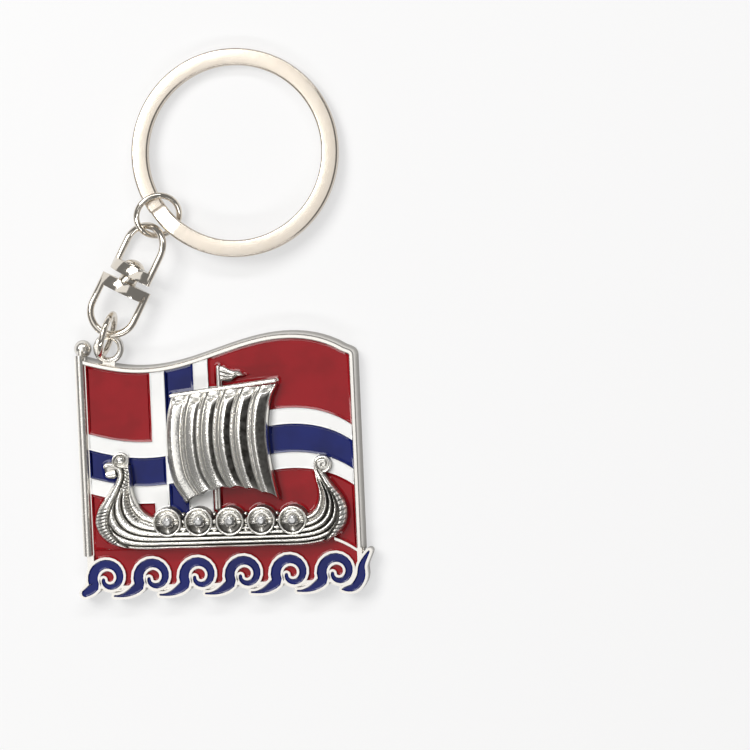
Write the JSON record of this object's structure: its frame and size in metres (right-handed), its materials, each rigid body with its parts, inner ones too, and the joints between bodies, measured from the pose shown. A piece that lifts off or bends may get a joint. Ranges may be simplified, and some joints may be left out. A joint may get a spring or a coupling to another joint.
{
  "type": "enamelled flag keychain",
  "caption": "Keychain: wavy enamelled cross-flag pendant with a longship in high relief, hung from a flat split ring by a double-bail swivel.",
  "frame": {"origin": "middle of the pendant's plate at its flat back face", "axes": "+X to the flag's fly, +Y up the flag pole towards the split ring, +Z out of the decorated face"},
  "size_m": [0.046, 0.0842, 0.0076],
  "materials": {
    "antique_silver": "cast metal with an antiqued silver plating",
    "polished_nickel": "polished nickel plating",
    "red_enamel": "gloss soft enamel",
    "blue_enamel": "gloss soft enamel",
    "white_enamel": "gloss soft enamel",
    "clear_stone": "cut clear stone"
  },
  "bodies": {
    "pendant": {"flag_casting": "antique_silver", "longship": "antique_silver", "canton_red": "red_enamel", "fly_red_upper": "red_enamel", "hoist_red_lower": "red_enamel", "small_red_lower": "red_enamel", "midship_red": "red_enamel", "fly_red_lower": "red_enamel", "band_red": "red_enamel", "cross_white": "white_enamel", "top_blue": "blue_enamel", "hoist_blue": "blue_enamel", "inner_blue": "blue_enamel", "foot_blue": "blue_enamel", "fly_blue": "blue_enamel", "crystal_1": "clear_stone", "crystal_2": "clear_stone", "crystal_3": "clear_stone", "crystal_4": "clear_stone", "crystal_5": "clear_stone", "wave_blue_1": "blue_enamel", "wave_blue_2": "blue_enamel", "wave_blue_3": "blue_enamel", "wave_blue_4": "blue_enamel", "wave_blue_5": "blue_enamel", "wave_blue_6": "blue_enamel", "crest_blue": "blue_enamel"},
    "lower_jump": {"lower_jump_ring": "polished_nickel"},
    "swivel_lower": {"lower_bail": "polished_nickel", "swivel_rivet": "polished_nickel"},
    "swivel_upper": {"upper_bail": "polished_nickel"},
    "upper_jump": {"upper_jump_ring": "polished_nickel"},
    "key_ring": {"split_ring": "polished_nickel"}
  },
  "joints": [
    {"name": "lug_hinge", "type": "hinge", "parent": "pendant", "child": "lower_jump", "pos_m": [-0.01665, 0.0219, 0.0017], "axis": [1, 0, 0], "range_deg": [-100, 5]},
    {"name": "lower_bail_swing", "type": "hinge", "parent": "lower_jump", "child": "swivel_lower", "pos_m": [-0.01699, 0.02257, 0.0035], "axis": [0, 0, 1], "range_deg": [-10, 38]},
    {"name": "swivel_turn", "type": "hinge", "parent": "swivel_lower", "child": "swivel_upper", "pos_m": [-0.01279, 0.03046, 0.00304], "axis": [0.4688, 0.8818, -0.0515], "continuous": true},
    {"name": "upper_jump_swing", "type": "hinge", "parent": "swivel_upper", "child": "upper_jump", "pos_m": [-0.00859, 0.03836, 0.00258], "axis": [0.7909, -0.3932, 0.4688], "range_deg": [-28, 55]},
    {"name": "key_ring_slide_round", "type": "hinge", "parent": "upper_jump", "child": "key_ring", "pos_m": [0.00445, 0.04923, 0.00193], "axis": [0.0098, 0.0603, 0.9981], "continuous": true}
  ]
}
